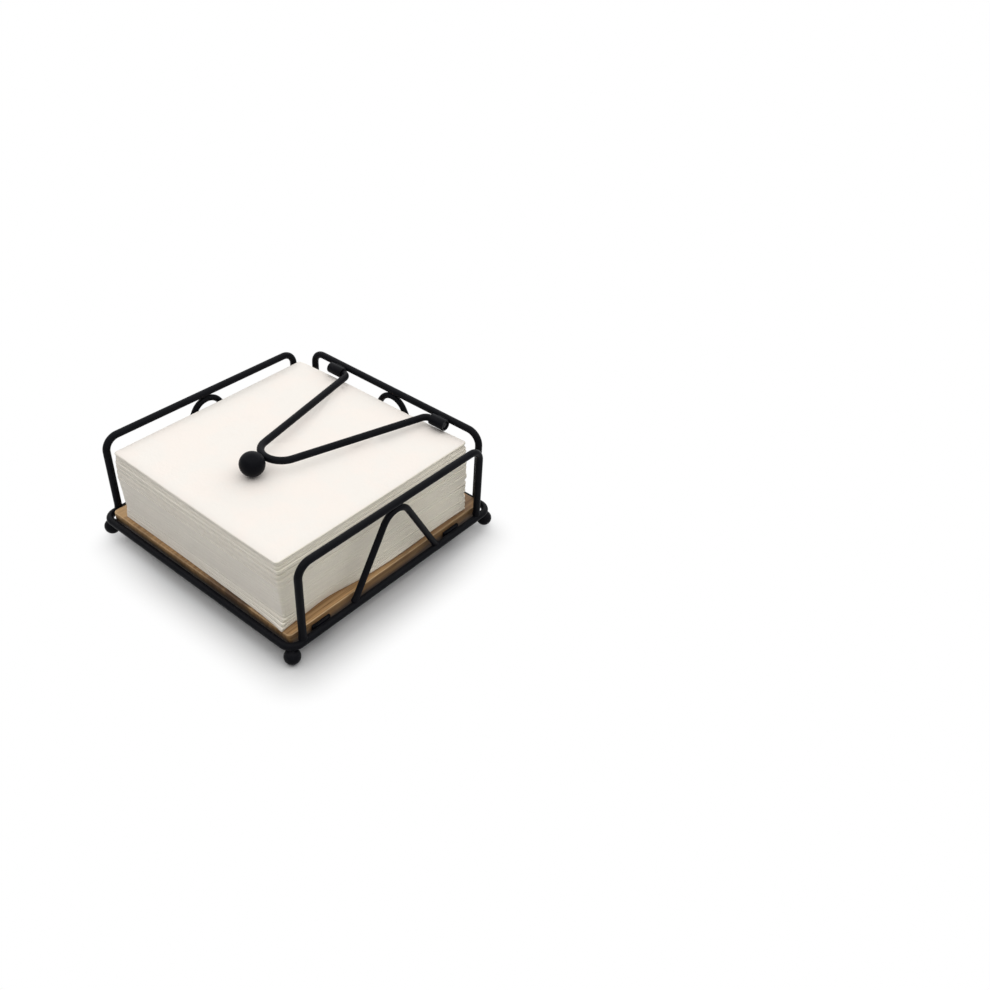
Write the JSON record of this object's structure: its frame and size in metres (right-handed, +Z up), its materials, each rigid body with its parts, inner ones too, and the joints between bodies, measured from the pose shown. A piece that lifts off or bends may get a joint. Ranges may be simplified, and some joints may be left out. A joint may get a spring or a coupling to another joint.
{
  "type": "napkin dispenser",
  "caption": "Square wire napkin holder on ball feet with a wooden base board, railed on all but the open front, and a hinged weighted arm that presses on the napkin stack.",
  "frame": {"origin": "on the table, under the middle of the base ring", "axes": "+X to the right, -Y towards the open front, +Y towards the hinge rail, +Z up"},
  "size_m": [0.191, 0.191, 0.0822],
  "materials": {
    "black_wire": "satin black powder coat",
    "board": "light oiled hardwood",
    "paper": "soft embossed tissue"
  },
  "bodies": {
    "frame": {"base_ring": "black_wire", "foot_ball_front_left": "black_wire", "foot_ball_front_right": "black_wire", "foot_ball_rear_left": "black_wire", "foot_ball_rear_right": "black_wire", "cross_strap_front": "black_wire", "cross_strap_rear": "black_wire", "base_board": "board", "right_rail": "black_wire", "left_rail": "black_wire", "rear_rail": "black_wire", "right_brace": "black_wire", "left_brace": "black_wire", "rear_brace": "black_wire", "hinge_sleeve_left": "black_wire", "hinge_sleeve_right": "black_wire"},
    "arm": {"weight_arm": "black_wire", "weight_ball": "black_wire"},
    "stack": {"napkin_stack": "paper"},
    "top_sheet": {"top_napkin": "paper"}
  },
  "joints": [
    {"name": "arm_hinge", "type": "hinge", "parent": "frame", "child": "arm", "pos_m": [0, 0.08477, 0.0704], "axis": [-1, 0, 0], "range_deg": [0, 118]},
    {"name": "stack_slide", "type": "slide", "parent": "frame", "child": "stack", "axis": [0, -1, 0], "range_m": [0, 0.17]},
    {"name": "top_napkin_draw", "type": "slide", "parent": "stack", "child": "top_sheet", "axis": [0, -1, 0], "range_m": [0, 0.17]}
  ]
}
